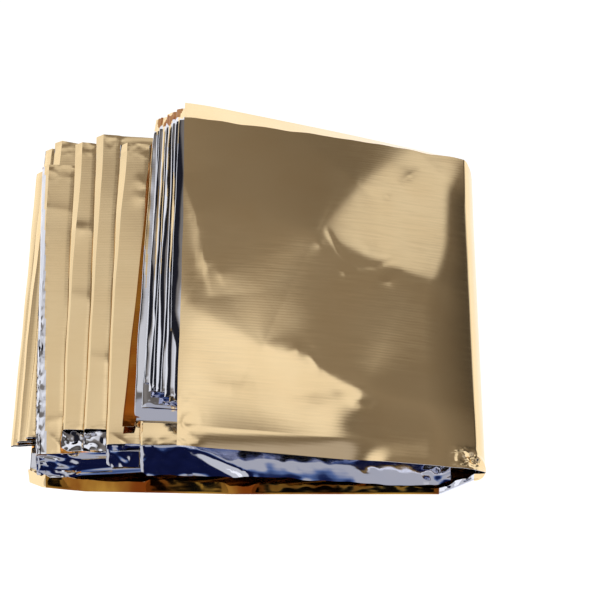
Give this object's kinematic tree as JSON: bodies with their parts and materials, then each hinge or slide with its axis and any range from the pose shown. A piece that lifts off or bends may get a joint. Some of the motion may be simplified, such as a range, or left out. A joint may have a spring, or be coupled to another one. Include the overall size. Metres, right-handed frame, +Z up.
{
  "type": "emergency foil blanket",
  "caption": "Folded emergency foil blanket, gold outside and silver inside, lying flat with a fan of stepped pleats beside a raised packet under a full panel.",
  "frame": {"origin": "centre of the footprint, on the surface that the blanket lies on", "axes": "+Z up, +X across the folds towards the single large turn on the right, -Y towards the stepped front ends of the layers"},
  "size_m": [0.2122, 0.1856, 0.0469],
  "materials": {
    "gold_foil": "thin polyester film, metallised, mirror gold outside with fine lines; the inside is mirror silver"
  },
  "bodies": {
    "root": {"blanket": "gold_foil"}
  },
  "joints": []
}
